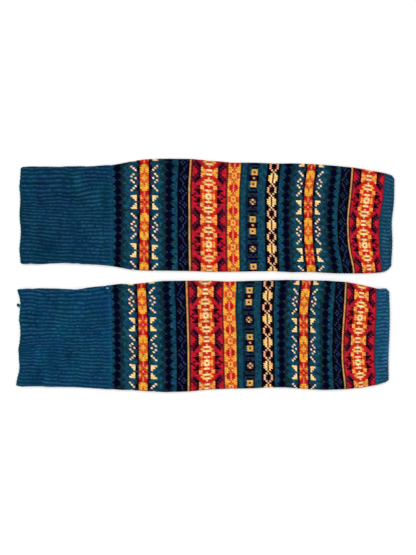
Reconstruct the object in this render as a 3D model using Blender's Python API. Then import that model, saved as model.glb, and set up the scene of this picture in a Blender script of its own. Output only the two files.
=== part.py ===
"""Pair of footless knitted leg warmers, laid flat side by side.

Each leg warmer is three knitted tubes, sewn end to end: a deep ribbed thigh cuff, a patterned
body and a shallow ribbed ankle cuff.  Both layers of a tube lie on each other, joined by the
round folds along its two sides, and both ends are open.  The pair lies along X, thigh hems at
-X, with the underside flat on Z = 0 and the origin under the middle of the pair.
"""
import math

import bmesh
import bpy
from mathutils import Vector

MM = 0.001

# Driving sizes, in millimetres
SEAM_GAP = 0.4            # free space along X between two pieces that are sewn together, 0.3 across a slant
BODY_WALL = 2.2           # one layer of two-colour knitting with its floats
CUFF_WALL = 2.0           # one layer of ribbing, measured in a groove
RIB_HEIGHT = 0.9          # how far a rib stands out of its grooves
INNER_GAP = 0.7           # between the two layers, away from the side folds
FOLD_RISE = 0.9           # how much thicker the tube is along its side folds
FOLD_REACH = 16.0         # how far from the fold that extra thickness fades out
FOLD_RIB_SHARE = 0.6      # ribs are pressed to this share of their height round a fold
DEEPEST_HOLLOW = 0.3      # the upper layer never sinks further, so the layers stay apart
MERGE_DISTANCE = 0.01     # points closer than this are one
SHARP_ANGLE = 50.0        # degrees: steeper edges, such as the hems, stay crisp
PAIR_SPACING = 180.0      # between the middle lines of the two leg warmers
FAR_START = 0.0           # where the far thigh hem begins along X, before the pair is centred
NEAR_START = -0.75        # the near one lies a touch further out
FAR_SEAMS = (139, 541)    # thigh cuff to body, and body to ankle cuff, from the thigh hem
NEAR_SEAMS = (139, 533)

# Counts of points round a tube
CUFF_FRONT_RIBS = 27      # ribs across the face, between the folds
CUFF_FOLD_RIBS = 2        # ribs round each fold
CUFF_BACK_STEPS = 12
BODY_FRONT_STEPS = 22
BODY_FOLD_STEPS = 6
BODY_BACK_STEPS = 10
RIB_PROFILE = (           # one rib from groove to groove: share of the pitch, share of the height
    (0.00, 0.0),
    (0.28, 1.0),
    (0.72, 1.0),
)

# Outline of each leg warmer: distance from the thigh hem, far edge and near edge (mm)
FAR_OUTLINE = (
    (0, 71.2, -70.0),
    (10, 73.8, -71.6),
    (30, 74.2, -71.5),
    (60, 74.1, -70.6),
    (85, 74.2, -71.3),
    (112, 74.7, -73.0),
    (139, 76.5, -75.3),
    (152, 78.8, -77.6),
    (167, 82.0, -80.6),
    (188, 85.5, -82.0),
    (218, 86.2, -82.0),
    (254, 85.8, -82.5),
    (286, 83.2, -83.6),
    (316, 80.2, -83.7),
    (349, 80.2, -83.0),
    (377, 78.8, -82.6),
    (406, 79.2, -84.4),
    (433, 78.3, -84.0),
    (463, 75.8, -86.0),
    (493, 73.0, -86.2),
    (517, 69.2, -86.2),
    (541, 64.6, -84.6),
    (549, 62.4, -82.2),
    (555, 60.6, -79.2),
    (559, 56.4, -75.2),
)
NEAR_OUTLINE = (
    (0, 70.5, -74.7),
    (10, 71.2, -75.8),
    (30, 71.2, -75.8),
    (60, 70.6, -75.8),
    (85, 69.9, -76.0),
    (112, 73.0, -77.8),
    (139, 76.5, -79.6),
    (153, 78.4, -81.0),
    (168, 77.8, -81.2),
    (189, 79.8, -82.8),
    (219, 82.8, -84.3),
    (253, 83.2, -83.2),
    (284, 83.2, -80.2),
    (314, 81.8, -79.0),
    (343, 82.8, -78.8),
    (372, 83.6, -77.2),
    (399, 84.3, -77.2),
    (426, 83.8, -79.5),
    (456, 83.2, -81.0),
    (486, 81.3, -80.0),
    (509, 77.2, -77.7),
    (533, 71.6, -73.8),
    (541, 71.1, -71.3),
    (550, 71.0, -68.8),
    (555, 67.0, -66.0),
)

# How far the knitted rows bow along the tube: distance from the thigh hem, then the shift of that
# row at the near fold, a quarter in, the middle, three quarters and the far fold (mm)
FAR_BOW = (
    (0, 1.5, 0.0, -0.3, 0.0, 1.8),
    (139, 0.0, 0.0, 0.0, 0.0, 0.0),
    (254, 0.6, 0.2, 0.0, 0.0, 2.4),
    (493, 6.6, 1.2, -0.6, 2.0, 6.8),
    (541, 0.8, -1.5, -2.0, 3.4, 6.0),
    (559, -4.5, -1.0, -0.7, 2.1, 0.8),
)
NEAR_BOW = (
    (0, -5.1, -0.6, 1.0, 0.5, -2.1),
    (139, 0.0, 0.0, 0.0, 0.0, 0.0),
    (253, 0.8, 0.8, 0.6, -0.6, -2.3),
    (486, 2.2, -1.2, 0.0, 1.8, 5.6),
    (533, 1.0, -0.7, -0.2, 2.0, 2.2),
    (555, -3.0, -1.3, 0.3, 0.5, -0.2),
)

# Soft hollows and swells of the upper layer: along, across (-1 near fold, 1 far fold), reach
# along and across, rise, and how far the ribs there are pushed towards the far fold (mm)
FAR_SWELLS = (
    (82, 0.35, 42, 0.55, -0.25, -2.4),
    (30, -0.45, 30, 0.50, 0.30, 0.8),
    (150, 0.10, 16, 0.80, 0.45, 0.0),
    (235, -0.40, 50, 0.60, 0.35, 0.0),
    (340, 0.45, 60, 0.60, 0.30, 0.0),
    (470, -0.20, 55, 0.70, 0.35, 0.0),
)
NEAR_SWELLS = (
    (70, 0.15, 40, 0.60, -0.25, 2.0),
    (25, -0.60, 28, 0.40, 0.45, -1.0),
    (152, -0.15, 16, 0.80, 0.45, 0.0),
    (245, 0.35, 55, 0.60, 0.35, 0.0),
    (365, -0.40, 60, 0.60, 0.30, 0.0),
    (480, 0.25, 50, 0.70, 0.35, 0.0),
)

# Colours as seen: red, green, blue (linear)
TEAL_CUFF = (0.006, 0.035, 0.072)
TEAL_ANKLE = (0.012, 0.065, 0.115)
NAVY_BODY = (0.010, 0.030, 0.060)

# Each leg warmer: name, side of the middle line, start along X, tables, and the two seams
PAIR = (
    ("far", 1, FAR_START, FAR_OUTLINE, FAR_BOW, FAR_SWELLS, FAR_SEAMS),
    ("near", -1, NEAR_START, NEAR_OUTLINE, NEAR_BOW, NEAR_SWELLS, NEAR_SEAMS),
)


def clear_scene():
    """Remove whatever objects the open file holds."""
    for old in list(bpy.data.objects):
        bpy.data.objects.remove(old, do_unlink=True)


def knit_material(name, colour):
    """Matt wool in one colour."""
    material = bpy.data.materials.new(name)
    material.use_nodes = True
    shader = material.node_tree.nodes["Principled BSDF"]
    shader.inputs["Base Color"].default_value = (*colour, 1.0)
    shader.inputs["Roughness"].default_value = 0.9
    shader.inputs["Metallic"].default_value = 0.0
    material.diffuse_color = (*colour, 1.0)
    return material


def blend_rows(table, along):
    """The values of a table at one distance from the hem, straight between its rows."""
    if along <= table[0][0]:
        return table[0][1:]
    for before, after in zip(table, table[1:]):
        if along <= after[0]:
            share = (along - before[0]) / (after[0] - before[0])
            return tuple(a + (b - a) * share for a, b in zip(before[1:], after[1:]))
    return table[-1][1:]


def smooth_across(values, across):
    """A smooth curve through evenly spaced values, for a place across from -1 to 1."""
    place = (min(max(across, -1.0), 1.0) + 1.0) / 2.0 * (len(values) - 1)
    left = min(int(place), len(values) - 2)
    t = place - left
    a = values[max(left - 1, 0)]
    b = values[left]
    c = values[left + 1]
    d = values[min(left + 2, len(values) - 1)]
    return b + 0.5 * t * (c - a + t * (2 * a - 5 * b + 4 * c - d + t * (3 * (b - c) + d - a)))


def swell(table, along, across):
    """Rise of the upper layer and sideways push of its ribs at one place."""
    rise = 0.0
    push = 0.0
    for centre, side, reach_along, reach_across, height, shove in table:
        distance = math.hypot((along - centre) / reach_along, (across - side) / reach_across)
        if distance < 1.0:
            weight = (1.0 - distance ** 2) ** 2
            rise += height * weight
            push += shove * weight
    return rise, push


def cuff_round():
    """Places round a ribbed cuff: zone, place in the zone, share of the rib height.

    The near fold is climbed first, then the face is crossed, the far fold descended and the
    flat back crossed again.  Folds are given by their angle above the floor side.
    """
    places = []
    for rib in range(CUFF_FOLD_RIBS):
        for share, height in RIB_PROFILE:
            places.append(("near", (rib + share) / CUFF_FOLD_RIBS, height))
    for rib in range(CUFF_FRONT_RIBS):
        for share, height in RIB_PROFILE:
            places.append(("front", (rib + share) / CUFF_FRONT_RIBS, height))
    for rib in range(CUFF_FOLD_RIBS):
        for share, height in RIB_PROFILE:
            places.append(("far", (rib + share) / CUFF_FOLD_RIBS, height))
    for step in range(CUFF_BACK_STEPS):
        places.append(("back", step / CUFF_BACK_STEPS, 0.0))
    return places


def body_round():
    """Places round the plain wall of the patterned body."""
    steps = (
        ("near", BODY_FOLD_STEPS),
        ("front", BODY_FRONT_STEPS),
        ("far", BODY_FOLD_STEPS),
        ("back", BODY_BACK_STEPS),
    )
    return [(zone, step / count, 0.0) for zone, count in steps for step in range(count)]


def wall_point(leg, along, place, wall, inside):
    """One point of a tube's wall, on its outside or its inside, in millimetres."""
    outline, bow, swells = leg
    far, near = blend_rows(outline, along)
    zone, share, raised = place
    thickness = 2.0 * wall + INNER_GAP
    fold_radius = (thickness + FOLD_RISE) / 2.0
    rib = 0.0 if inside else RIB_HEIGHT * raised
    radius = fold_radius - wall if inside else fold_radius + rib * FOLD_RIB_SHARE
    middle = (far + near) / 2.0
    reach = (far - near) / 2.0 - fold_radius
    if zone in ("near", "far"):
        side = -1.0 if zone == "near" else 1.0
        climb = share if zone == "near" else 1.0 - share
        angle = math.pi * (climb - 0.5)
        across = side
        y = middle + side * (reach + radius * math.cos(angle))
        z = fold_radius + radius * math.sin(angle)
    elif zone == "front":
        across = 2.0 * share - 1.0
        rise, push = swell(swells, along, across)
        edge = reach * (1.0 - abs(across))
        fold_share = max(0.0, 1.0 - edge / FOLD_REACH) ** 2
        y = middle + reach * across + push * (1.0 - across ** 2)
        z = thickness + FOLD_RISE * fold_share + max(rise, -DEEPEST_HOLLOW) * (1.0 - fold_share)
        z += -wall if inside else rib
    else:
        across = 1.0 - 2.0 * share
        y = middle + reach * across
        z = wall if inside else 0.0
    x = along + smooth_across(blend_rows(bow, along), across)
    return Vector((x, y, max(z, 0.0)))


def knit_tube(name, leg, stations, places, wall, material, parent, collection):
    """One tube: a grid wrapped round its outside, back through its inside, and closed."""
    rings = [(along, False) for along in stations]
    rings += [(along, True) for along in reversed(stations)]
    mesh = bpy.data.meshes.new(name)
    bm = bmesh.new()
    bmesh.ops.create_grid(bm, x_segments=len(rings), y_segments=len(places), size=1.0)
    for vert in bm.verts:
        ring = round((vert.co.x + 1.0) / 2.0 * len(rings)) % len(rings)
        step = round((vert.co.y + 1.0) / 2.0 * len(places)) % len(places)
        along, inside = rings[ring]
        vert.co = wall_point(leg, along, places[step], wall, inside) * MM
    bmesh.ops.remove_doubles(bm, verts=bm.verts, dist=MERGE_DISTANCE * MM)
    bmesh.ops.recalc_face_normals(bm, faces=bm.faces)
    bmesh.ops.triangulate(bm, faces=bm.faces, quad_method="SHORT_EDGE")
    bm.to_mesh(mesh)
    bm.free()
    mesh.materials.append(material)
    mesh.shade_smooth()
    mesh.set_sharp_from_angle(angle=math.radians(SHARP_ANGLE))
    tube = bpy.data.objects.new(name, mesh)
    collection.objects.link(tube)
    tube.parent = parent
    return tube


def between(outline, start, end):
    """The stations of a tube: its two ends, half a seam gap in, and the rows between them."""
    inner = [row[0] for row in outline if start < row[0] < end]
    first = start if start == outline[0][0] else start + SEAM_GAP / 2.0
    last = end if end == outline[-1][0] else end - SEAM_GAP / 2.0
    return [first, *inner, last]


def knit_leg_warmer(row, root, materials, collection):
    """The three tubes of one leg warmer."""
    side_name, side, start, outline, bow, swells, (thigh_seam, ankle_seam) = row
    holder = bpy.data.objects.new(side_name + "_leg_warmer", None)
    collection.objects.link(holder)
    holder.parent = root
    holder.location = Vector((start, side * PAIR_SPACING / 2.0, 0.0)) * MM
    leg = (outline, bow, swells)
    hem = outline[0][0]
    end = outline[-1][0]
    teal, ankle_teal, navy = materials
    tubes = (
        ("thigh_cuff", hem, thigh_seam, cuff_round(), CUFF_WALL, teal),
        ("patterned_body", thigh_seam, ankle_seam, body_round(), BODY_WALL, navy),
        ("ankle_cuff", ankle_seam, end, cuff_round(), CUFF_WALL, ankle_teal),
    )
    made = []
    for name, first, last, places, wall, material in tubes:
        stations = between(outline, first, last)
        tube_name = side_name + "_" + name
        made.append(knit_tube(tube_name, leg, stations, places, wall, material, holder, collection))
    return made


def centre_pair(root, tubes):
    """Move the pair so that the origin lies under the middle of its box."""
    bpy.context.view_layer.update()
    corners = [tube.matrix_world @ vert.co for tube in tubes for vert in tube.data.vertices]
    for axis in (0, 1):
        low = min(corner[axis] for corner in corners)
        high = max(corner[axis] for corner in corners)
        root.location[axis] = -(low + high) / 2.0
    bpy.context.view_layer.update()


def build_pair():
    """Both leg warmers, laid side by side."""
    clear_scene()
    collection = bpy.data.collections.new("pair_of_leg_warmers")
    bpy.context.scene.collection.children.link(collection)
    root = bpy.data.objects.new("pair", None)
    collection.objects.link(root)
    materials = (
        knit_material("teal_rib", TEAL_CUFF),
        knit_material("teal_ankle_rib", TEAL_ANKLE),
        knit_material("banded_knit", NAVY_BODY),
    )
    tubes = []
    for row in PAIR:
        tubes += knit_leg_warmer(row, root, materials, collection)
    centre_pair(root, tubes)


build_pair()
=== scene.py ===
"""The looks of a pair of footless knitted leg warmers, laid flat side by side.

Every knitted tube is made stitch by stitch on the form of its solid: a grid whose columns follow the
wales and whose rows follow the courses, with both legs of each stitch raised, and each stitch in the
colour of its yarn.  The colourwork comes from short charts, mirrored and repeated round the tube.
Lengths are in millimetres up to the last step, where the points are placed in metres.
"""
import math

import bmesh
import bpy
import numpy as np
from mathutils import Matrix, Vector


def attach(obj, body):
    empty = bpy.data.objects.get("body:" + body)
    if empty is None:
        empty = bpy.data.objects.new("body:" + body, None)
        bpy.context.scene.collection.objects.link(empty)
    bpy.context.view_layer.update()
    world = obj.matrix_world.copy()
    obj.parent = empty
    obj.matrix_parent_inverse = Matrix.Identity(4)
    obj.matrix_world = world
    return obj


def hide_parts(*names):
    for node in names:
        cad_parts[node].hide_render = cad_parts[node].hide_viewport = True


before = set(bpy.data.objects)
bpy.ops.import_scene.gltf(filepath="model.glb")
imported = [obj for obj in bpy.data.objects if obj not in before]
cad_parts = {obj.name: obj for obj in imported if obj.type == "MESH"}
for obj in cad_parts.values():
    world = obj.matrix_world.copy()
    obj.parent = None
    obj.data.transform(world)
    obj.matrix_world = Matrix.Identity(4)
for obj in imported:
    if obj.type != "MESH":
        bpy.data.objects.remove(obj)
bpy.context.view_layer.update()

MM = 0.001

# Form of the tubes, as in the solids
BODY_WALL = 2.2           # one layer of two-colour knitting with its floats
CUFF_WALL = 2.0           # one layer of ribbing, measured in a groove
INNER_GAP = 0.7           # between the two layers, away from the side folds
FOLD_RISE = 0.9           # how much thicker the tube is along its side folds
FOLD_REACH = 16.0         # how far from the fold that extra thickness fades out
DEEPEST_HOLLOW = 0.3      # the upper layer never sinks further, so the layers stay apart
SEAM_GAP = 0.4            # between two pieces that are sewn together
FAR_PLACE = (-277.64, 89.05)      # thigh hem and middle line of the far leg warmer
NEAR_PLACE = (-278.39, -90.95)    # and of the near one
MERGE_DISTANCE = 0.001    # points closer than this are one

# Gauge
WALES = 56                # on each face of a tube, from fold to fold
JOG_WALE = 84             # the rounds of colourwork begin and end here, in the middle of the underside
RIBS = 27                 # on each face of a cuff, one raised wale and one sunk wale each
THIGH_COURSES = 44
ANKLE_COURSES = 8
V_DEPTH = 0.55            # how far the legs of a rib's stitch climb from its point, in rows

# Outline of each leg warmer: distance from the thigh hem, far edge and near edge
FAR_OUTLINE = (
    (0, 71.8, -70.2),
    (2, 73.4, -71.3),
    (10, 73.8, -71.6),
    (30, 74.2, -71.5),
    (60, 74.1, -70.6),
    (85, 74.2, -71.3),
    (112, 74.7, -73.0),
    (139, 76.5, -75.3),
    (152, 78.8, -77.6),
    (167, 82.0, -80.6),
    (188, 85.5, -82.0),
    (218, 86.2, -82.0),
    (254, 85.8, -82.5),
    (286, 83.2, -83.6),
    (316, 80.2, -83.7),
    (349, 80.2, -83.0),
    (377, 78.8, -82.6),
    (406, 79.2, -84.4),
    (433, 78.3, -84.0),
    (463, 75.8, -86.0),
    (493, 73.0, -86.2),
    (517, 69.2, -86.2),
    (541, 64.6, -84.6),
    (549, 62.4, -82.2),
    (555, 60.6, -79.2),
    (559, 56.4, -75.2),
)
NEAR_OUTLINE = (
    (0, 70.5, -74.7),
    (10, 71.2, -75.8),
    (30, 71.2, -75.8),
    (60, 70.6, -75.8),
    (85, 69.9, -76.0),
    (112, 73.0, -77.8),
    (139, 76.5, -79.6),
    (153, 78.4, -81.0),
    (168, 77.8, -81.2),
    (189, 79.8, -82.8),
    (219, 82.8, -84.3),
    (253, 83.2, -83.2),
    (284, 83.2, -80.2),
    (314, 81.8, -79.0),
    (343, 82.8, -78.8),
    (372, 83.6, -77.2),
    (399, 84.3, -77.2),
    (426, 83.8, -79.5),
    (456, 83.2, -81.0),
    (486, 81.3, -80.0),
    (509, 77.2, -77.7),
    (533, 71.6, -73.8),
    (541, 71.1, -71.3),
    (550, 71.0, -68.8),
    (555, 67.0, -66.0),
)

# How far the knitted rows bow along the tube: distance from the thigh hem, then the shift of that
# row at the near fold, a quarter in, the middle, three quarters and the far fold
FAR_BOW = (
    (0, 1.5, 0.0, -0.3, 0.0, 1.8),
    (139, -0.8, 0.3, 0.3, -0.5, -1.5),
    (172, -1.1, -0.8, 0.0, -0.3, -0.6),
    (215, 0.0, -0.4, 0.0, 0.0, 0.2),
    (245, 0.8, 0.2, 0.1, -0.1, 2.4),
    (283, 1.1, 0.3, 0.0, -0.1, 1.2),
    (320, 0.5, -0.3, 0.0, 0.3, 2.5),
    (349, 1.1, -0.1, 0.0, 0.2, 3.7),
    (377, 1.5, 0.0, 0.0, 0.0, 4.0),
    (400, 2.0, 0.3, 0.0, 0.3, 4.0),
    (432, 4.6, 0.9, 0.0, 0.6, 5.1),
    (461, 8.1, 2.6, 0.2, 2.1, 6.9),
    (482, 8.6, 1.9, 0.2, 3.1, 5.9),
    (516, 7.1, -0.5, -2.6, 2.6, 6.3),
    (541, 0.8, -1.5, -2.0, 3.4, 6.0),
    (559, -2.6, -0.8, -1.7, 1.5, 2.0),
)
NEAR_BOW = (
    (0, -5.1, -0.6, 1.0, 0.5, -2.1),
    (139, -0.9, 0.5, -0.4, -0.5, -2.4),
    (170, -0.3, 0.4, 0.0, -0.4, -2.0),
    (185, 0.1, 0.3, 0.0, -0.8, -2.6),
    (211, 0.7, 1.1, 0.0, -1.1, -3.2),
    (243, 0.6, 0.6, 0.0, -1.0, -2.5),
    (281, 0.6, 0.3, 0.0, -1.8, -2.0),
    (317, 1.7, 0.4, 0.0, -1.5, -0.3),
    (345, 0.0, 0.8, 0.0, -1.9, 0.1),
    (372, 1.3, 0.6, 0.0, -0.8, 1.0),
    (394, 0.8, 0.4, 0.0, 0.0, 2.5),
    (427, 0.3, -0.1, 0.0, 0.2, 4.2),
    (454, 0.9, -0.4, 0.0, 0.0, 4.8),
    (476, 3.0, -0.4, 0.1, 2.1, 4.1),
    (509, 2.2, -2.8, -2.9, 1.2, 3.0),
    (533, 1.0, -0.7, -0.2, 2.0, 2.2),
    (555, -1.8, -1.8, -0.6, 0.1, -0.9),
)

# How far the wales have drifted towards the near fold, in wales, at the same places across
FAR_LEAN = (
    (139, 0.1, 0.1, 0.0, 0.0, 0.0),
    (172, 0.5, 0.5, 0.2, 0.3, 0.3),
    (202, 1.3, 1.3, 1.0, 1.0, 1.0),
    (215, 1.2, 1.5, 1.2, 1.2, 1.3),
    (245, 0.9, 1.0, 1.0, 1.3, 1.3),
    (283, 0.8, 1.0, 0.8, 1.5, 1.5),
    (320, 0.7, 1.1, 0.8, 1.1, 1.2),
    (349, 1.0, 1.2, 1.2, 1.5, 1.4),
    (377, 0.5, 0.8, 1.1, 1.1, 1.1),
    (400, 0.8, 0.9, 0.9, 0.9, 0.8),
    (432, 0.2, 0.8, 0.6, 0.5, 0.6),
    (461, 0.2, 0.5, 0.3, 0.3, 0.4),
    (482, 0.0, -0.6, 0.0, 0.4, 0.4),
    (516, -0.8, -0.6, -0.3, -0.1, -0.2),
)
NEAR_LEAN = (
    (139, -0.1, -1.0, -0.3, 0.1, 0.0),
    (170, 0.6, 0.6, 0.4, 0.6, 0.6),
    (185, 0.5, 0.6, 0.6, 0.7, 0.7),
    (211, 0.7, 0.7, 0.6, 0.8, 0.8),
    (243, -0.1, -0.1, 0.2, 0.5, 0.5),
    (281, -0.3, -0.1, 0.0, 0.1, 0.0),
    (317, -0.2, 0.0, 0.1, 0.3, 0.2),
    (345, -0.4, -0.2, 0.2, 0.5, 0.4),
    (372, 0.1, 0.3, 0.3, 0.3, 0.4),
    (394, 0.5, 0.4, 0.5, 0.6, 0.3),
    (427, 0.2, 0.3, 0.4, 0.3, 0.6),
    (454, 0.2, 0.3, 0.3, 0.1, 0.1),
    (476, 0.5, 0.5, 0.7, 0.7, 0.7),
    (509, -0.3, -0.1, 0.1, 0.1, 0.0),
)

# How far the ribs of the thigh cuffs have drifted towards the near fold, in ribs, at nine places
# evenly spaced from the near fold to the far one
FAR_RIB_LEAN = (
    (0, -0.8, -0.9, -1.0, -0.9, -0.8, 0.2, 0.2, -0.7, -0.6),
    (16, -0.9, -0.9, -0.9, -0.8, -0.6, 0.3, 0.3, -0.6, -0.5),
    (30, -0.6, -0.5, -0.5, -0.5, -0.4, 0.4, 0.5, -0.6, -0.6),
    (50, -0.2, -0.1, 0.0, -0.3, 0.0, 0.3, 0.3, -0.7, -0.9),
    (62, -0.2, 0.1, 0.0, -0.2, 0.1, 0.1, 0.1, -0.8, -0.9),
    (74, 0.0, 0.1, 0.1, -0.1, 0.1, 0.1, 0.2, -0.4, -0.3),
    (86, 0.1, 0.0, 0.0, 0.0, 0.1, 0.1, 0.1, -0.5, -0.3),
    (98, 0.0, 0.1, 0.0, 0.0, 0.1, 0.1, -0.3, -0.7, -0.7),
    (110, 0.1, 0.1, 0.0, -0.1, 0.1, 0.1, -0.6, -0.9, -0.8),
    (122, 0.0, 0.1, -0.1, -0.2, 0.1, 0.0, -0.6, -0.5, -0.5),
    (139, -0.2, -0.1, -0.2, -0.1, 0.0, 0.1, -0.3, -0.3, 0.0),
    (160, 0.0, 0.0, 0.0, 0.0, 0.0, 0.0, 0.0, 0.0, 0.0),
    (541, 0.0, 0.0, 0.0, 0.0, 0.0, 0.0, 0.0, 0.0, 0.0),
    (559, 0.7, 1.1, 1.0, 0.7, 0.4, 0.1, -0.1, 0.0, 0.0),
)
NEAR_RIB_LEAN = (
    (0, -1.3, -1.1, -0.9, 0.4, 1.0, 0.6, 0.1, 0.0, 0.0),
    (16, -1.3, -1.2, -1.0, 0.1, 0.9, 0.7, 0.2, 0.0, 0.1),
    (27, -1.2, -1.1, -0.8, -0.1, 0.7, 0.7, 0.5, 0.4, 0.4),
    (39, -1.1, -1.0, -0.8, -0.2, 0.5, 0.6, 0.6, 0.5, 0.5),
    (51, -0.9, -0.7, -0.6, -0.1, 0.5, 0.9, 0.8, 0.5, 0.5),
    (63, -0.8, -0.6, -0.5, 0.0, 0.7, 1.0, 1.2, 0.5, 0.4),
    (75, -0.6, -0.6, -0.5, 0.2, 0.8, 1.1, 1.3, 0.5, 0.3),
    (87, -0.7, -0.7, -0.5, 0.1, 0.7, 1.0, 1.2, 0.4, 0.1),
    (99, -0.5, -0.4, -0.2, 0.1, 0.6, 1.0, 1.2, 0.7, 0.2),
    (111, -0.5, -0.3, -0.2, 0.1, 0.5, 0.9, 1.2, 0.6, 0.4),
    (123, -0.6, -0.5, -0.2, 0.1, 0.6, 0.8, 1.1, 0.6, 0.2),
    (139, -0.6, -0.4, -0.2, 0.1, 0.5, 0.7, 1.1, 0.6, 0.2),
    (160, 0.0, 0.0, 0.0, 0.0, 0.0, 0.0, 0.0, 0.0, 0.0),
    (533, 0.0, 0.0, 0.0, 0.0, 0.0, 0.0, 0.0, 0.0, 0.0),
    (555, 0.4, 1.0, 0.9, 0.6, 0.3, 0.1, 0.0, 0.0, 0.0),
)

# How the edge of each thigh hem wavers along the tube, evenly spaced from the near fold to the
# far one
FAR_HEM = (
    -0.5, -1.0, -1.5, -0.3, 0.9, 1.7, 1.5, 0.4, -0.1, 0.2, 0.8, 0.9, 0.3, -1.2, -0.8, -0.6, -0.5,
)
NEAR_HEM = (
    0.6, 1.2, 2.3, 2.0, 0.2, -0.8, -2.0, -0.6, 0.2, 0.5, 0.1, -1.4, -0.3, 1.3, 2.4, 1.8, -0.4,
)
HEM_REACH = 14.0          # how far into the cuff that fades out

# Where the ribs have been pulled apart, with painted shade in the grooves there: along, across (-1
# near fold, 1 far fold), then the reach along and across
FAR_GAPES = (
    (24, 0.64, 28, 0.10),
    (72, 0.40, 26, 0.09),
)
NEAR_GAPES = (
    (14, 0.43, 24, 0.07),
    (10, 0.27, 18, 0.07),
    (10, 0.06, 18, 0.05),
)

# Soft hollows and swells of the upper layer: along, across (-1 near fold, 1 far fold), reach
# along and across, rise, and how far the wales there are pushed towards the far fold
FAR_SWELLS = (
    (82, 0.35, 42, 0.55, -0.25, -2.4),
    (30, -0.45, 30, 0.50, 0.30, 0.8),
    (150, 0.10, 16, 0.80, 0.45, 0.0),
    (235, -0.40, 50, 0.60, 0.35, 0.0),
    (340, 0.45, 60, 0.60, 0.30, 0.0),
    (470, -0.20, 55, 0.70, 0.35, 0.0),
)
NEAR_SWELLS = (
    (70, 0.15, 40, 0.60, -0.25, 2.0),
    (25, -0.60, 28, 0.40, 0.45, -1.0),
    (152, -0.15, 16, 0.80, 0.45, 0.0),
    (245, 0.35, 55, 0.60, 0.35, 0.0),
    (365, -0.40, 60, 0.60, 0.30, 0.0),
    (480, 0.25, 50, 0.70, 0.35, 0.0),
)

# One letter for each yarn, as seen: red, green, blue out of 255
YARNS = {
    "t": (20, 65, 85),      # heathered teal
    "T": (20, 76, 108),     # bluer teal
    "d": (12, 36, 54),      # dark teal
    "g": (16, 46, 50),      # bottle green
    "S": (14, 28, 42),      # dark slate
    "s": (24, 42, 56),      # slate
    "b": (34, 50, 78),      # slate blue
    "n": (3, 4, 30),        # navy
    "x": (8, 4, 14),        # black
    "z": (45, 4, 14),       # black cherry
    "c": (255, 222, 162),   # cream
    "C": (255, 216, 150),   # warm cream
    "i": (246, 212, 176),   # pale pink cream
    "I": (214, 176, 134),   # beige
    "j": (240, 180, 142),   # rose beige
    "y": (243, 170, 56),    # gold
    "G": (224, 170, 92),    # tan gold
    "h": (250, 166, 78),    # peach gold
    "l": (252, 196, 118),   # light orange
    "o": (228, 108, 48),    # orange
    "e": (206, 74, 32),     # ember
    "a": (232, 116, 72),    # apricot
    "q": (244, 122, 86),    # peach
    "Q": (250, 160, 122),   # pale peach
    "r": (192, 28, 26),     # red
    "k": (196, 28, 46),     # crimson
    "K": (142, 22, 44),     # dark crimson
    "R": (196, 36, 28),     # scarlet
    "m": (66, 7, 24),       # maroon
    "u": (98, 26, 56),      # plum
    "w": (216, 156, 98),    # tan
    "v": (88, 30, 16),      # russet brown
    "B": (182, 84, 30),     # brown
    "D": (108, 42, 12),     # chestnut
    "f": (84, 56, 44),      # taupe
    "J": (172, 144, 108),   # dull beige
    "V": (60, 22, 6),       # darkest brown
    "M": (110, 32, 28),     # brick
}
HEATHERED = "tTdgSsb"       # yarns spun from fibres of several shades
THIGH_TEALS = ((4, 46, 73), (24, 63, 86), (2, 56, 62))      # painted shade in grooves, painted light on ribs, and along the hem greener yarn with painted shade of its edge
# the same for the ankle cuffs: painted shade in grooves, painted light on ribs, and the teal along the
# hem
ANKLE_TEALS = ((14, 60, 85), (42, 82, 106), (22, 78, 100))
SEAM_TEAL = (16, 74, 100)   # beside the seam to the body

# Charts of the colourwork.  A row is one round, from a motif's middle stitch outwards to the middle
# of the next motif, and is mirrored at both ends.  The first row is the one nearest the thigh.
DIAMONDS = (
    "ntt",
    "nnd",
    "nnn",
    "nns",
    "Ssg",
    "tgg",
    "Ttg",
)
CREAM = (
    "tttCttittttit",
    "ttCCtttittitt",
    "tCCCttttittti",
)
CREAM_EDGE = (
    "bxxdstdnnbbbn",
    "bxssxzzxxnSzz",
)
GOLD = (
    "rohorKByyyoeo",
    "reoRrryyyyeoy",
    "qreaqoyyoeoyy",
    "reoRrryyyyeoy",
    "rohorKByyyoeo",
)
BRAID = (
    "bxxxxxbx",
    "nbnnnbnn",
    "bnnbbnnb",
    "nnbnnnbn",
    "xbxxxxxb",
)
STAR_TIP = (
    "mkkkkkkKumkkk",
    "KmkmkkKxmumkk",
    "kKmxKKkKxxumK",
    "kzxxKxkkKxxmx",
)
STAR_HALF = (
    "RRRRhhRRkkhho",
    "hheohhehRRehh",
    "hoRaRRlhhRRoh",
    "CcecRRcBCRRce",
)
STAR_CORE = STAR_HALF + ("BchlRQceCQece",) + STAR_HALF[::-1]
GOLD_LINKS = (
    "oohyyho",
    "eeyyyrr",
    "hheherr",
    "Bhoeaqq",
    "hheherr",
    "eeyyyrr",
    "oohyyho",
)
SQUARES = (
    "nnnssnsttttnn",
    "JfnssnsnGGGzz",
    "xIznsnsnGVGzI",
    "JfnssnsnGGGzz",
    "nnnssnsggggnn",
)
CREAM_LINKS = (
    "llxxxjj",
    "lCCVjVx",
    "DDDjxxx",
    "lCCVjVx",
    "llxxxjj",
)

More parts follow.
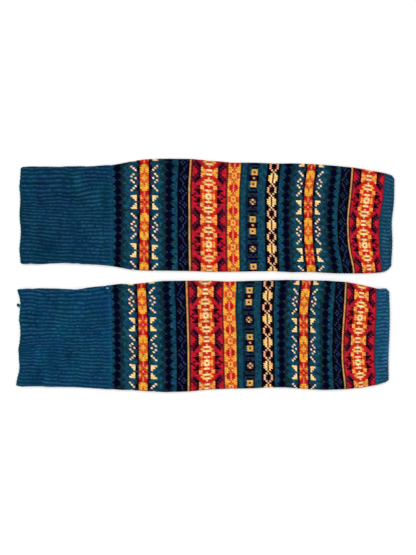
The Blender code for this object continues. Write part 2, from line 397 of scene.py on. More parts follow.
# The rounds of the body from thigh to ankle: chart, then for the far and for the near leg warmer
# the distance from the thigh hem where it begins and the wale of its motif's middle
ROUNDS = (
    (("t",), 139.2, 0, 139.2, 0),
    (DIAMONDS, 140.3, 19, 139.8, 20),
    (("t", "t"), 160.4, 0, 159.2, 0),
    (CREAM, 166.5, 21, 164.8, 21),
    (CREAM_EDGE, 175.4, 21, 173.5, 21),
    (GOLD, 180.5, 21, 179.1, 21),
    (CREAM_EDGE[::-1], 193.2, 21, 191.8, 21),
    (CREAM[::-1], 198.6, 21, 196.5, 21),
    (("t",), 207.2, 0, 205.6, 0),
    (DIAMONDS[::-1], 209.5, 19, 209.9, 20),
    (("t", "t"), 231.2, 0, 230.0, 0),
    (("n",), 236.0, 0, 235.0, 0),
    (BRAID, 239.0, 15, 238.0, 15),
    (("x",), 250.4, 0, 249.3, 0),
    (("w",), 252.9, 0, 251.9, 0),
    (("v",), 255.1, 0, 254.0, 0),
    (STAR_TIP, 258.0, 17, 256.9, 18),
    (STAR_CORE, 270.6, 17, 269.0, 18),
    (STAR_TIP[::-1], 295.4, 17, 292.6, 18),
    (("M",), 308.0, 0, 304.6, 0),
    (GOLD_LINKS, 311.2, 18, 307.2, 19),
    (("g",), 328.4, 0, 325.0, 0),
    (("t", "t", "d"), 331.3, 0, 328.4, 0),
    (SQUARES, 341.7, 19, 338.1, 20),
    (("t", "t", "t", "t"), 356.6, 0, 352.8, 0),
    (("x",), 367.2, 0, 362.1, 0),
    (CREAM_LINKS, 371.0, 19, 365.8, 20),
    (("x",), 384.0, 0, 378.8, 0),
    (("t", "t"), 387.4, 0, 382.2, 0),
    (DIAMONDS, 392.3, 20, 386.2, 21),
    (("t",), 411.4, 0, 405.5, 0),
    (CREAM, 414.2, 22, 408.7, 23),
    (CREAM_EDGE, 422.1, 22, 416.1, 23),
    (GOLD, 426.4, 22, 420.2, 23),
    (CREAM_EDGE[::-1], 437.9, 22, 432.2, 23),
    (CREAM[::-1], 442.3, 22, 436.5, 23),
    (("t",), 449.7, 0, 443.8, 0),
    (DIAMONDS[::-1], 452.9, 20, 447.4, 21),
    (("t", "t"), 471.0, 0, 465.0, 0),
    (("x",), 475.4, 0, 469.2, 0),
    (BRAID, 477.9, 15, 471.7, 16),
    (("x",), 488.4, 0, 482.0, 0),
    (("w",), 491.5, 0, 484.7, 0),
    (("v",), 493.4, 0, 486.6, 0),
    (STAR_TIP, 495.5, 17, 488.9, 18),
    (STAR_CORE, 506.6, 17, 499.6, 18),
    (STAR_TIP[::-1], 528.9, 17, 521.1, 18),
    (("K",), 539.6, 0, 531.6, 0),
)
FAR_SEAMS = (139, 541)    # thigh cuff to body, and body to ankle cuff, from the thigh hem
NEAR_SEAMS = (139, 533)

# One stocking stitch: place across its wale, how far that part is carried along the tube, in rows,
# then its height between two rows and in the middle of its row, from 0 in a groove to 1 on a leg
UPPER_STITCH = (
    (-0.50, 0.26, 0.15, 0.38),
    (-0.25, -0.26, 0.62, 0.95),
    (0.00, -0.08, 0.48, 0.74),
    (0.25, 0.08, 0.62, 1.00),
)
PLAIN_STITCH = (
    (-0.50, 0.28, 0.10, 0.45),
    (0.00, -0.28, 0.30, 1.00),
)
FINE_WALES = (4, 52)      # first and last wale with both legs of each stitch made
STITCH_RELIEF = 0.75      # height of a leg over the deepest groove
STITCH_PROUD = 0.25       # of which it stands out of the solid's surface on the upper side

# One rib: place across it from groove to groove, its height over the solid's grooves, and how pale it
# is painted, which is painted light on the rib and painted shade in its grooves
RIB_PROFILE = (
    (0.00, -0.35, 0.00),
    (0.10, -0.30, 0.00),
    (0.22, 0.05, 0.10),
    (0.32, 0.60, 0.60),
    (0.40, 0.95, 1.00),
    (0.50, 0.72, 0.90),
    (0.60, 0.95, 1.00),
    (0.68, 0.60, 0.60),
    (0.78, 0.05, 0.10),
    (0.90, -0.30, 0.00),
)
RIB_TOP = 0.95
COURSE_RELIEF = (-0.24, 0.04, 0.06)    # along one stitch of a rib, from the row before it
RIM_WIDTH = 2.6           # along a hem, where the ribs flatten and the yarn looks greener, and on the thigh cuffs darker, as painted shade of the hem's edge
SEAM_WIDTH = 7.0          # beside a seam, where the ribs flatten
SCALLOP = 0.5             # how far a rib stands out of the hem's edge, between two grooves
GAPE_SHADE = 0.45         # how much darker the grooves are painted, as painted shade, where the ribs have been pulled apart
JOIN_SHADE = 0.3          # and an ankle cuff right beside its seam, as painted shade of the seam's groove
JOIN_WIDTH = 1.6
RIM_FLATNESS = 0.7        # how much of a rib's height is lost at the hem
SEAM_FLATNESS = 0.55      # and at the seam
FLAT_RIB = 0.45           # share of its height that a flattened rib keeps
GROOVE_RIPPLE = 0.5       # share of the ripple of the stitches that shows in a groove
UNDER_RIB = 0.6           # share of its height that a rib keeps where the tube lies on it
V_REACH = 0.3             # share of a rib, from its middle, over which the legs of a stitch climb
LUMPS = 0.5               # how much the single stitches of a rib differ in how pale they are
PALEST = 1.3              # the palest they get, where 0 is the teal in a groove and 1 that on a rib
SEAM_TINT = 0.6           # how far the yarn takes on the teal of a seam
RIM_TINT = 0.8            # and that of a hem
UNDER_RELIEF = 0.4        # relief of the stitches that the tube lies on
INNER_RELIEF = 0.2        # relief that a body's inner wall counts as, for its shade
INNER_RIB_RELIEF = 0.3    # and a cuff's
INNER_RINGS = 3           # rings of the plain inner wall
HEM_ROUND = 0.5           # how far a hem's rim bulges
SEAM_ROUND = 0.19         # and the rim of a sewn edge, just short of the next piece
MAP_MARGIN = 0.004        # of the unrolled map, left free at its edges

# Unevenness of the knitting and of the dye.  A patch is that many rows by that many columns.
UNEVEN_STITCH = 0.05      # in height
UNEVEN_RIB = 0.03
HEATHERED_DYE = 0.30      # from stitch to stitch, in heathered yarn
PLAIN_DYE = 0.12
CUFF_DYE = 0.07
WARM_SPREAD = 1.3         # of which red changes on its own, as a share of that
GREEN_SPREAD = 0.5
COLD_SPREAD = 0.6
BLUE_LOSS = 0.6           # of blue, where a stitch is greener
DYE_LIMITS = (-2.6, 1.5)  # in spreads
DRIFT = (0.09, (7, 20))   # sideways, of the ribs, in ribs, and the patch
WEAR = (0.28, (16, 50))   # of the height of the ribs, and with it of the painted light on them, and the patch
WEAR_LIMITS = (0.4, 1.5)
SLOW_PATCH = (14, 45)
GREEN_PATCH = (11, 35)
SLOW_TINT = (0.06, 0.09, 0.09)         # change of red, green and blue over slow patches
GREEN_TINT = (-0.12, 0.05, -0.03)      # and over green ones

# Floor and camera
FLOOR_HALF = 4000.0
FLOOR_DROP = 0.2
LENS = 100.0
SENSOR = 36.0
VIEW_HEIGHT = 832.5       # what the photo's longer side takes in
VIEW_MIDDLE = (4.35, -3.15)
VIEW_LEVEL = 4.0          # height at which that is so

# Bits of loose yarn: place, half sizes and colour of each lump
HEM_END = (
    ((-280.6, -44.4, 4.2), (2.0, 2.3, 0.9), (8, 44, 36)),
    ((-278.6, -45.4, 4.6), (2.1, 2.2, 0.9), (12, 66, 64)),
    ((-277.4, -47.0, 5.0), (2.0, 1.8, 0.8), (34, 104, 108)),
)
KNOT = (
    ((-147.3, -18.0, 5.4), (1.5, 1.5, 0.9), (206, 230, 242)),
    ((-145.6, -19.0, 5.6), (1.2, 1.1, 0.7), (110, 166, 196)),
)

FAR = {
    "side": "far", "columns": 1, "outline": FAR_OUTLINE, "bow": FAR_BOW, "swells": FAR_SWELLS,
    "lean": FAR_LEAN, "rib_lean": FAR_RIB_LEAN, "hem": FAR_HEM, "seams": FAR_SEAMS,
    "gapes": FAR_GAPES, "place": FAR_PLACE, "seed": 11, "dye": (1.0, 1.0, 1.0),
}
NEAR = {
    "side": "near", "columns": 3, "outline": NEAR_OUTLINE, "bow": NEAR_BOW, "swells": NEAR_SWELLS,
    "lean": NEAR_LEAN, "rib_lean": NEAR_RIB_LEAN, "hem": NEAR_HEM, "seams": NEAR_SEAMS,
    "gapes": NEAR_GAPES, "place": NEAR_PLACE, "seed": 47, "dye": (1.06, 1.2, 1.26),
}


def read_column(table, column, along):
    """One column of a table at a distance from the thigh hem, straight between its rows."""
    return np.interp(along, [row[0] for row in table], [row[column] for row in table])


def smooth_across(values, across):
    """A smooth curve through evenly spaced values, for places across from -1 to 1."""
    values = np.stack(values)
    last = len(values) - 1
    place = (np.clip(across, -1.0, 1.0) + 1.0) / 2.0 * last
    left = np.minimum(place.astype(int), last - 1)
    t = place - left

    def pick(index):
        return np.take_along_axis(values, np.clip(index, 0, last)[None], axis=0)[0]

    a, b, c, d = pick(left - 1), pick(left), pick(left + 1), pick(left + 2)
    return b + 0.5 * t * (c - a + t * (2 * a - 5 * b + 4 * c - d + t * (3 * (b - c) + d - a)))


def swell(table, along, across):
    """Rise of the upper layer and sideways push of its wales."""
    rise = np.zeros_like(along)
    push = np.zeros_like(along)
    for centre, side, reach_along, reach_across, height, shove in table:
        distance = np.hypot((along - centre) / reach_along, (across - side) / reach_across)
        weight = np.clip(1.0 - distance ** 2, 0.0, None) ** 2
        rise += height * weight
        push += shove * weight
    return rise, push


def half_round(leg, along, wall):
    """From fold to fold over one layer: its length, the fold's radius, half the flat, its middle."""
    far = read_column(leg["outline"], 1, along)
    near = read_column(leg["outline"], 2, along)
    radius = (2.0 * wall + INNER_GAP + FOLD_RISE) / 2.0
    reach = (far - near) / 2.0 - radius
    return 2.0 * reach + math.pi * radius, radius, reach, (far + near) / 2.0


def lay_on_tube(leg, along, turn, lift, wall):
    """Points of a laid-flat tube.

    turn runs from 0 at the far fold over the upper layer to 1 at the near fold, and back along the
    underside to 2.  lift is the height over the solid's outer surface.
    """
    length, radius, reach, middle = half_round(leg, along, wall)
    turn = turn % 2.0
    face = np.where(turn < 1.0, 1.0, -1.0)
    arc = (turn % 1.0) * length
    quarter = math.pi / 2.0 * radius
    before = np.clip(quarter - arc, 0.0, None) / radius
    after = np.clip(arc - (length - quarter), 0.0, None) / radius
    flat = np.clip(reach - (arc - quarter), -reach, reach)
    across = face * flat / reach
    rise, push = swell(leg["swells"], along, across)
    edge = np.clip(1.0 - reach * (1.0 - np.abs(across)) / FOLD_REACH, 0.0, None) ** 2
    sunk = (FOLD_RISE - np.maximum(rise, -DEEPEST_HOLLOW)) * (1.0 - edge)
    upper = face > 0.0
    y = middle + face * (flat + (np.sin(before) - np.sin(after)) * (radius + lift))
    y += np.where(upper, push * (1.0 - across ** 2), 0.0)
    z = radius + face * np.cos(before + after) * (radius + lift) - np.where(upper, sunk, 0.0)
    bow = [read_column(leg["bow"], column, along) for column in range(1, 6)]
    x = along + smooth_across(bow, across)
    near_hem = np.clip(1.0 - along / HEM_REACH, 0.0, 1.0) ** 2
    x += near_hem * np.interp(across, np.linspace(-1.0, 1.0, len(leg["hem"])), leg["hem"])
    return np.stack((x + leg["place"][0], y + leg["place"][1], z), axis=-1) * MM


def wrapped_grid(name, rings, columns):
    """A grid to be closed both ways, as a mesh, with the ring and column of each point and corner."""
    mesh = bpy.data.meshes.new(name)
    bm = bmesh.new()
    bm.loops.layers.uv.new("OFBake")
    bmesh.ops.create_grid(bm, x_segments=rings, y_segments=columns, size=1.0, calc_uvs=True)
    bm.to_mesh(mesh)
    bm.free()
    points = np.empty(len(mesh.vertices) * 3, np.float32)
    mesh.vertices.foreach_get("co", points)
    at = np.rint((points.reshape(-1, 3)[:, :2] + 1.0) / 2.0 * (rings, columns)).astype(int)
    corners = np.empty(len(mesh.loops) * 2, np.float32)
    mesh.uv_layers["OFBake"].data.foreach_get("uv", corners)
    corner_at = np.rint(corners.reshape(-1, 2) * (rings, columns)).astype(int)
    return mesh, at, corner_at


def close_grid(mesh):
    """Merge the doubled edges of a wrapped grid and turn its faces outwards."""
    bm = bmesh.new()
    bm.from_mesh(mesh)
    bmesh.ops.remove_doubles(bm, verts=bm.verts, dist=MERGE_DISTANCE * MM)
    bmesh.ops.recalc_face_normals(bm, faces=bm.faces)
    bm.to_mesh(mesh)
    bm.free()
    mesh.shade_smooth()


def linear(colour):
    """A colour out of 255, as light."""
    share = np.asarray(colour, float) / 255.0
    return np.where(share <= 0.04045, share / 12.92, ((share + 0.055) / 1.055) ** 2.4)


def heather(shape, amount, seed):
    """Uneven dyeing: a factor on red, green and blue for each stitch, round 1."""
    draw = np.random.default_rng(seed)
    light = draw.normal(0.0, amount, shape)
    warm = draw.normal(0.0, amount * WARM_SPREAD, shape)
    green = draw.normal(0.0, amount * GREEN_SPREAD, shape)
    cold = draw.normal(0.0, amount * COLD_SPREAD, shape)
    factors = np.stack((light + warm, light + green, light + cold - green * BLUE_LOSS), axis=-1)
    return np.exp(np.clip(factors, DYE_LIMITS[0] * amount, DYE_LIMITS[1] * amount))


def soft_patches(shape, spacing, seed):
    """Slow random changes round 0 over a grid that closes up round the tube."""
    draw = np.random.default_rng(seed)
    rows, columns = shape[0] // spacing[0] + 2, shape[1] // spacing[1]
    coarse = draw.normal(0.0, 1.0, (rows, columns))
    coarse = np.concatenate((coarse, coarse[:, :1]), axis=1)
    along = np.linspace(0.0, rows - 1.001, shape[0])
    turned = np.arange(shape[1]) / shape[1] * columns
    i, j = along.astype(int), turned.astype(int)
    t = (along - i)[:, None]
    s = (turned - j)[None, :]
    t, s = t * t * (3.0 - 2.0 * t), s * s * (3.0 - 2.0 * s)
    first = coarse[i][:, j] * (1.0 - s) + coarse[i][:, j + 1] * s
    second = coarse[i + 1][:, j] * (1.0 - s) + coarse[i + 1][:, j + 1] * s
    return first * (1.0 - t) + second * t


def round_letter(chart_row, steps):
    """The yarn of a stitch that lies that many wales from the motif's middle."""
    last = len(chart_row) - 1
    if last == 0:
        return chart_row[0]
    place = steps % (2 * last)
    return chart_row[min(place, 2 * last - place)]


def body_rounds(leg):
    """Every round of the body: its yarns all round, and where its rows lie along the tube."""
    ends = [rounds[leg["columns"]] for rounds in ROUNDS[1:]] + [leg["seams"][1] - SEAM_GAP / 2.0]
    wales = [k if k < JOG_WALE else k - 2 * WALES for k in range(2 * WALES)]
    letters = []
    rows = []
    for rounds, end in zip(ROUNDS, ends):
        chart, start, middle = rounds[0], rounds[leg["columns"]], rounds[leg["columns"] + 1]
        rows.extend(np.linspace(start, end, len(chart), endpoint=False))
        letters.extend([round_letter(chart_row, k - middle) for k in wales] for chart_row in chart)
    return letters, np.array(rows + [ends[-1]])


def finish_tube(name, leg, wall, mesh_parts, along, turn, lift, colours, relief, material):
    """Place a tube's points, colour its stitches, unroll it, and make it an object."""
    mesh, at, corner_at = mesh_parts
    rings, columns = along.shape
    points = lay_on_tube(leg, along, turn, lift, wall)
    points[..., 2] = np.maximum(points[..., 2], 0.0)
    ring, column = at[:, 0] % rings, at[:, 1] % columns
    mesh.vertices.foreach_set("co", points[ring, column].astype(np.float32).ravel())
    # the relief, from 0 in a groove to 1 on a crown, sets the painted shade of the wool
    groove = mesh.attributes.new("relief", "FLOAT", "POINT")
    groove.data.foreach_set("value", relief[ring, column].astype(np.float32))
    cells = corner_at.reshape(-1, 4, 2).min(axis=1)
    shades = np.repeat(colours[cells[:, 0], cells[:, 1]], 4, axis=0)
    yarn = mesh.color_attributes.new("yarn", "FLOAT_COLOR", "CORNER")
    rgba = np.concatenate((shades, np.ones((len(shades), 1))), axis=1)
    yarn.data.foreach_set("color", rgba.astype(np.float32).ravel())
    unroll(mesh, corner_at, rings, columns)
    close_grid(mesh)
    mesh.materials.append(material)
    tube = bpy.data.objects.new(name, mesh)
    bpy.context.scene.collection.objects.link(tube)
    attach(tube, "root")
    return tube


def unroll(mesh, corner_at, rings, columns):
    """Lay the tube's map out flat: its length upwards, its round sideways."""
    uv = corner_at / (rings, columns)
    uv = uv[:, ::-1] * (1.0 - 2.0 * MAP_MARGIN) + MAP_MARGIN
    mesh.uv_layers["OFBake"].data.foreach_set("uv", uv.astype(np.float32).ravel())


def end_rings(first, last, wall, hems):
    """Rings round the rims and back through the inside: how far along, and how deep."""
    inner = np.linspace(last, first, INNER_RINGS)
    push_last = HEM_ROUND if hems[1] else SEAM_ROUND
    push_first = HEM_ROUND if hems[0] else SEAM_ROUND
    along = np.concatenate(([last + push_last], inner, [first - push_first]))
    depth = np.concatenate(([-wall / 2.0], np.full(INNER_RINGS, -wall), [-wall / 2.0]))
    return along, depth


def knit_body(name, leg, material):
    """The patterned tube, stitch by stitch."""
    letters, rows = body_rounds(leg)
    count = len(letters)
    stitched = []
    for k in range(2 * WALES):
        stitch = UPPER_STITCH if FINE_WALES[0] <= k <= FINE_WALES[1] else PLAIN_STITCH
        stitched.extend((k + place, climb, low, high) for place, climb, low, high in stitch)
    wale, climb, low, high = np.array(stitched).T
    steps = np.arange(2 * count + 1) / 2.0
    fade = np.clip(np.minimum(steps, count - steps), 0.0, 1.0)
    rows_at = steps[:, None] + climb[None, :] * fade[:, None]
    along = np.interp(rows_at, np.arange(count + 1), rows)
    between_rows = (np.arange(len(steps)) % 2 == 0)[:, None]
    relief = np.where(between_rows, low[None, :], high[None, :])
    inside_along, inside_depth = end_rings(rows[0], rows[-1], BODY_WALL, (False, False))
    turn = drifted(leg["lean"], WALES, along, np.broadcast_to(wale / WALES, along.shape))
    heights = lay_on_tube(leg, along, turn, np.zeros_like(along), BODY_WALL)[..., 2] / MM
    up = np.clip(heights / (2.0 * BODY_WALL + INNER_GAP), 0.0, 1.0)
    draw = np.random.default_rng(leg["seed"])
    uneven = np.minimum(draw.normal(0.0, UNEVEN_STITCH, along.shape), UNEVEN_STITCH)
    depth = STITCH_RELIEF * up + UNDER_RELIEF * (1.0 - up)
    lift = STITCH_PROUD * up - (1.0 - relief) * depth + uneven * up

    inner_along = np.repeat(inside_along[:, None], len(wale), axis=1)
    all_along = np.concatenate((along, inner_along))
    even_turn = np.broadcast_to(wale / WALES, all_along.shape)
    all_turn = drifted(leg["lean"], WALES, all_along, even_turn)
    all_lift = np.concatenate((lift, np.repeat(inside_depth[:, None], len(wale), axis=1)))
    all_relief = np.concatenate((relief, np.full(inner_along.shape, INNER_RELIEF)))
    colours = stitch_colours(leg, letters, wale)
    parts = wrapped_grid(name, len(all_along), len(wale))
    return finish_tube(
        name, leg, BODY_WALL, parts, all_along, all_turn, all_lift, colours, all_relief,
        material,
    )


def stitch_colours(leg, letters, wale):
    """The colour of each face of a body: that of its stitch's yarn, unevenly dyed."""
    count = len(letters)
    yarn_light = {letter: linear(colour) for letter, colour in YARNS.items()}
    stitches = np.array([[yarn_light[letter] for letter in row] for row in letters])
    heathered = np.array([[letter in HEATHERED for letter in row] for row in letters])[..., None]
    shape = stitches.shape[:2]
    stitches = stitches * np.where(
        heathered,
        heather(shape, HEATHERED_DYE, leg["seed"] + 1),
        heather(shape, PLAIN_DYE, leg["seed"] + 2),
    )
    middles = np.rint((wale + np.append(wale[1:], 2 * WALES - 0.5)) / 2.0).astype(int) % (2 * WALES)
    ring_rows = np.concatenate(
        (
            np.arange(2 * count) // 2,
            [count - 1, count - 1],
            np.full(INNER_RINGS - 1, count // 2),
            [0, 0],
        )
    )
    return stitches[ring_rows[:, None], middles[None, :]]


def drifted(table, count, along, turn):
    """The same turn, moved on by what the wales or ribs have drifted there."""
    turned = turn % 2.0
    across = np.where(turned < 1.0, 1.0 - 2.0 * turned, 2.0 * turned - 3.0)
    lean = [read_column(table, column, along) for column in range(1, len(table[0]))]
    return turn + smooth_across(lean, across) / count


def knit_cuff(name, leg, ends, courses, hems, teals, material):
    """A ribbed tube: raised wales of stitches with sunk wales between them."""
    first = ends[0] if hems[0] else ends[0] + SEAM_GAP / 2.0
    last = ends[1] if hems[1] else ends[1] - SEAM_GAP / 2.0
    ribs = np.repeat(np.arange(2 * RIBS), len(RIB_PROFILE))
    share, height, pale = np.tile(np.array(RIB_PROFILE), (2 * RIBS, 1)).T
    count = courses * len(COURSE_RELIEF)
    steps = np.arange(count + 1) / len(COURSE_RELIEF)
    off_middle = np.minimum(np.abs(share - 0.5) / V_REACH, 1.0)
    climb = V_DEPTH * (off_middle - 0.5)
    fade = np.clip(np.minimum(steps, courses - steps), 0.0, 1.0)
    rows_at = steps[:, None] + climb[None, :] * fade[:, None]
    along = first + (last - first) * rows_at / courses

    inside_along, inside_depth = end_rings(first, last, CUFF_WALL, hems)
    inner_along = np.repeat(inside_along[:, None], len(share), axis=1)
    all_along = np.concatenate((along, inner_along))
    shape = all_along.shape
    even_turn = np.broadcast_to((ribs + share)[None, :] / RIBS, shape)
    all_turn = drifted(leg["rib_lean"], RIBS, all_along, even_turn)
    all_turn = all_turn + DRIFT[0] / RIBS * soft_patches(shape, DRIFT[1], leg["seed"] + 8)
    to_hem = np.abs(all_along - (first if hems[0] else last))
    to_seam = np.abs(all_along - (last if hems[0] else first))
    rim = np.clip(1.0 - to_hem / RIM_WIDTH, 0.0, 1.0)
    seam = np.clip(1.0 - to_seam / SEAM_WIDTH, 0.0, 1.0)
    scallop = SCALLOP * (pale[None, :] - 0.5) * rim
    all_along = all_along - scallop if hems[0] else all_along + scallop
    wear_and_painted_light = 1.0 + WEAR[0] * soft_patches(shape, WEAR[1], leg["seed"] + 5)
    # a rib's height, and with it the painted light on the rib, as kept at each place
    strength = (1.0 - RIM_FLATNESS * rim) * (1.0 - SEAM_FLATNESS * seam)
    strength *= np.clip(wear_and_painted_light, *WEAR_LIMITS)

    draw = np.random.default_rng(leg["seed"] + courses)
    outer = slice(count + 1)
    lift, relief = rib_relief(leg, along, all_turn[outer], height, strength[outer], draw)
    all_lift = np.concatenate((lift, np.repeat(inside_depth[:, None], len(share), axis=1)))
    all_relief = np.concatenate((relief, np.full(inner_along.shape, INNER_RIB_RELIEF)))
    ring_rows = np.concatenate(
        (
            np.arange(count) // len(COURSE_RELIEF),
            [courses - 1, courses - 1],
            np.full(INNER_RINGS - 1, courses // 2),
            [0, 0],
        )
    )
    stitches = (ring_rows[:, None], ribs[None, :])
    # paleness between two places of the profile: painted light on a rib, painted shade in a groove
    between = (pale + np.roll(pale, -1)) / 2.0
    colours = rib_colours(teals, courses, between, strength, stitches, rim, seam, draw)
    # painted shade: darker grooves where the ribs gape, and a darker strip of an ankle cuff beside its
    # seam
    painted_shade = GAPE_SHADE * gaping(leg, all_along, all_turn) * (1.0 - np.minimum(between, 1.0))[None, :]
    if not hems[0]:
        painted_shade = painted_shade + JOIN_SHADE * np.clip(1.0 - to_seam / JOIN_WIDTH, 0.0, 1.0)
    dyed = heather((courses, 2 * RIBS), CUFF_DYE, leg["seed"] + courses + 1)
    colours = colours * np.exp(-painted_shade)[..., None] * dyed[stitches]
    colours = colours * np.exp(slow_tint(shape, leg["seed"])) * np.array(leg["dye"])
    parts = wrapped_grid(name, len(all_along), len(share))
    return finish_tube(
        name, leg, CUFF_WALL, parts, all_along, all_turn, all_lift, colours, all_relief,
        material,
    )


def rib_relief(leg, along, turn, height, strength, draw):
    """How high a cuff's outer points stand over the solid's surface, and their relief from 0 to 1."""
    groove = RIB_PROFILE[1][1]
    leg_share = np.clip((height - groove) / (RIB_TOP - groove), 0.0, 1.0)
    course = np.array(COURSE_RELIEF)[np.arange(len(along)) % len(COURSE_RELIEF)][:, None]
    ripple = course * leg_share[None, :] - course * GROOVE_RIPPLE * (1.0 - leg_share)
    raised = np.minimum(strength, 1.0)
    flat_height = (height * FLAT_RIB)[None, :]
    heights = flat_height + (height[None, :] - flat_height) * raised
    heights = heights + ripple * raised + draw.normal(0.0, UNEVEN_RIB, along.shape)
    base = lay_on_tube(leg, along, turn, np.zeros_like(along), CUFF_WALL)
    up = np.clip(base[..., 2] / MM / (2.0 * CUFF_WALL + INNER_GAP), 0.0, 1.0)
    lift = heights * (UNDER_RIB + (1.0 - UNDER_RIB) * up) - (1.0 - up) * RIB_TOP * UNDER_RIB
    return lift, np.clip((heights - height.min()) / (RIB_TOP - height.min()), 0.0, 1.0)


def rib_colours(teals, courses, between, strength, stitches, rim, seam, draw):
    """The colour of each face of a cuff: painted light on the ribs and painted shade in the grooves,
    following the ribs' height, and other teals at the seam and hem.
    """
    lumps = 1.0 + LUMPS * draw.normal(0.0, 1.0, (courses, 2 * RIBS))
    paleness = np.clip(between[None, :] * strength * lumps[stitches], 0.0, PALEST)[..., None]
    deep, light, hem_teal = [linear(teal) for teal in teals]
    colours = deep + (light - deep) * paleness
    colours = colours + (linear(SEAM_TEAL) - colours) * SEAM_TINT * seam[..., None]
    return colours + (hem_teal - colours) * RIM_TINT * rim[..., None]


def gaping(leg, along, turn):
    """Where the ribs have been pulled apart, from 0 to 1, which sets the painted shade of the grooves
    there.
    """
    across = 1.0 - 2.0 * (turn % 2.0)
    gape = np.zeros_like(along)
    for centre, place, reach_along, reach_across in leg["gapes"]:
        away = np.hypot((along - centre) / reach_along, (across - place) / reach_across)
        gape = np.maximum(gape, np.clip(1.0 - away ** 2, 0.0, None))
    return gape


def slow_tint(shape, seed):
    """Slow changes of a cuff's dye: a power of e for red, green and blue."""
    slow = soft_patches(shape, SLOW_PATCH, seed + 6)[..., None]
    green = soft_patches(shape, GREEN_PATCH, seed + 7)[..., None]
    return np.array(SLOW_TINT) * slow + np.array(GREEN_TINT) * green


def knit_wool(name, seed, groove):
    """Woollen yarn in the colour of each stitch, with painted shade in the grooves and a little
    painted light on the crowns, and a fibrous surface.
    """
    material = bpy.data.materials.new(name)
    material.use_nodes = True
    nodes = material.node_tree.nodes
    link = material.node_tree.links.new
    shader = nodes["Principled BSDF"]
    shader.inputs["Roughness"].default_value = 0.92
    shader.inputs["Sheen Weight"].default_value = 0.03
    shader.inputs["Sheen Roughness"].default_value = 0.3
    shader.inputs["Specular IOR Level"].default_value = 0.02
    place = nodes.new("ShaderNodeTexCoord")
    yarn = nodes.new("ShaderNodeAttribute")
    yarn.attribute_name = "yarn"
    relief = nodes.new("ShaderNodeAttribute")
    relief.attribute_name = "relief"

    # painted shade and light: the yarn's colour is scaled by the relief, from the groove's share up to
    # 1.12 on a crown
    depth = nodes.new("ShaderNodeMapRange")
    depth.inputs["To Min"].default_value = groove
    depth.inputs["To Max"].default_value = 1.12
    link(relief.outputs["Fac"], depth.inputs["Value"])

    mottle = nodes.new("ShaderNodeTexNoise")
    mottle.noise_dimensions = "4D"
    mottle.inputs["W"].default_value = seed
    mottle.inputs["Scale"].default_value = 320.0
    mottle.inputs["Detail"].default_value = 4.0
    link(place.outputs["Object"], mottle.inputs["Vector"])
    shade = nodes.new("ShaderNodeMapRange")
    shade.inputs["From Min"].default_value = 0.3
    shade.inputs["From Max"].default_value = 0.7
    shade.inputs["To Min"].default_value = 0.82
    shade.inputs["To Max"].default_value = 1.2
    link(mottle.outputs["Fac"], shade.inputs["Value"])

    both = nodes.new("ShaderNodeMath")
    both.operation = "MULTIPLY"
    link(depth.outputs["Result"], both.inputs[0])
    link(shade.outputs["Result"], both.inputs[1])
    dyed = nodes.new("ShaderNodeVectorMath")
    dyed.operation = "SCALE"
    link(yarn.outputs["Color"], dyed.inputs[0])
    link(both.outputs["Value"], dyed.inputs["Scale"])
    link(dyed.outputs["Vector"], shader.inputs["Base Color"])

    fibres = nodes.new("ShaderNodeTexNoise")
    fibres.inputs["Scale"].default_value = 1900.0
    fibres.inputs["Detail"].default_value = 3.0
    link(place.outputs["Object"], fibres.inputs["Vector"])
    bump = nodes.new("ShaderNodeBump")
    bump.inputs["Strength"].default_value = 0.5
    bump.inputs["Distance"].default_value = 0.25 * MM
    link(fibres.outputs["Fac"], bump.inputs["Height"])
    link(bump.outputs["Normal"], shader.inputs["Normal"])
    return material


def declare_tube(tube):
    """Hide the solid that the tube's cloth was knitted to."""
    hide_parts(tube.name[len("knit_"):])


def small_yarn(name, blobs, material):
    """A bit of loose yarn: overlapping rounded lumps, each with its place, half sizes and colour."""
    mesh = bpy.data.meshes.new(name)
    bm = bmesh.new()
    tint = bm.verts.layers.float_color.new("yarn")
    relief = bm.verts.layers.float.new("relief")
    for place, sizes, colour in blobs:
        made = bmesh.ops.create_icosphere(bm, subdivisions=3, radius=1.0)["verts"]
        bmesh.ops.scale(bm, verts=made, vec=Vector(sizes) * MM)
        bmesh.ops.translate(bm, verts=made, vec=Vector(place) * MM)
        for vert in made:
            vert[tint] = (*linear(colour), 1.0)
            vert[relief] = 0.85
    bm.to_mesh(mesh)
    bm.free()
    mesh.shade_smooth()
    mesh.materials.append(material)
    yarn = bpy.data.objects.new(name, mesh)
    bpy.context.scene.collection.objects.link(yarn)
    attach(yarn, "root")


def pale_floor():
    """A plain pale floor, just under the cloth."""
    mesh = bpy.data.meshes.new("floor")
    bm = bmesh.new()
    bmesh.ops.create_grid(bm, x_segments=1, y_segments=1, size=FLOOR_HALF * MM)
    bmesh.ops.translate(bm, verts=bm.verts, vec=(0.0, 0.0, -FLOOR_DROP * MM))
    bm.to_mesh(mesh)
    bm.free()
    floor = bpy.data.objects.new("floor", mesh)
    bpy.context.scene.collection.objects.link(floor)
    material = bpy.data.materials.new("pale_floor")
    material.use_nodes = True
    shader = material.node_tree.nodes["Principled BSDF"]
    shader.inputs["Base Color"].default_value = (0.96, 0.96, 0.96, 1.0)
    shader.inputs["Roughness"].default_value = 0.9
    mesh.materials.append(material)
    return floor


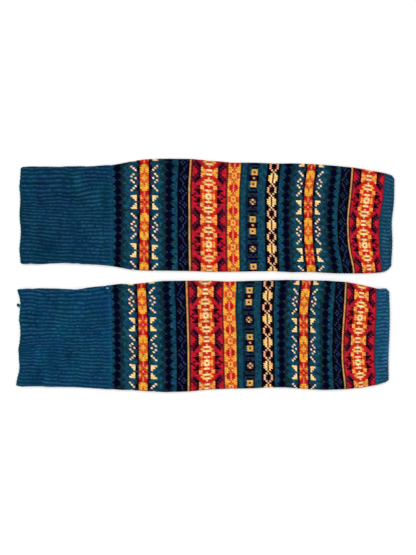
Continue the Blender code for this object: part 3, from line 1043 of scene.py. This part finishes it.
def soft_light():
    """A wide lamp overhead in a white room."""
    world = bpy.data.worlds.new("white_room")
    world.use_nodes = True
    sky = world.node_tree.nodes["Background"]
    sky.inputs["Color"].default_value = (1.0, 1.0, 1.0, 1.0)
    sky.inputs["Strength"].default_value = 0.62
    bpy.context.scene.world = world
    lamp_data = bpy.data.lights.new("overhead", "AREA")
    lamp_data.shape = "SQUARE"
    lamp_data.size = 3.0
    lamp_data.energy = 64.0
    lamp = bpy.data.objects.new("overhead", lamp_data)
    lamp.location = (-0.3, 0.4, 3.0)
    lamp.rotation_euler = (-lamp.location).to_track_quat("-Z", "Y").to_euler()
    bpy.context.scene.collection.objects.link(lamp)


def camera_overhead():
    """The photo's view, from straight above."""
    camera_data = bpy.data.cameras.new("camera")
    camera_data.lens = LENS
    camera_data.sensor_width = SENSOR
    camera = bpy.data.objects.new("camera", camera_data)
    distance = VIEW_HEIGHT * LENS / SENSOR
    camera.location = Vector((*VIEW_MIDDLE, VIEW_LEVEL + distance)) * MM
    bpy.context.scene.collection.objects.link(camera)
    bpy.context.scene.camera = camera


def dress_pair():
    """Both leg warmers, each of three knitted pieces."""
    # the last number is the share of its colour that the yarn keeps in the grooves, as painted shade
    colourwork = knit_wool("colourwork_wool", 1.0, 0.45)
    thigh_rib = knit_wool("heathered_teal_rib_wool", 2.0, 0.9)
    ankle_rib = knit_wool("heathered_ankle_rib_wool", 3.0, 0.9)
    for leg in (FAR, NEAR):
        side = leg["side"]
        hem, end = leg["outline"][0][0], leg["outline"][-1][0]
        thigh_seam, ankle_seam = leg["seams"]
        thigh = knit_cuff(
            "knit_" + side + "_thigh_cuff", leg, (hem, thigh_seam), THIGH_COURSES,
            (True, False), THIGH_TEALS, thigh_rib,
        )
        declare_tube(thigh)
        body = knit_body("knit_" + side + "_patterned_body", leg, colourwork)
        declare_tube(body)
        ankle = knit_cuff(
            "knit_" + side + "_ankle_cuff", leg, (ankle_seam, end), ANKLE_COURSES,
            (False, True), ANKLE_TEALS, ankle_rib,
        )
        declare_tube(ankle)
    small_yarn("loose_end_at_near_hem", HEM_END, thigh_rib)
    small_yarn("pale_knot_on_near_cuff", KNOT, thigh_rib)


bpy.context.scene.view_settings.view_transform = "Standard"
pale_floor()
soft_light()
camera_overhead()
dress_pair()
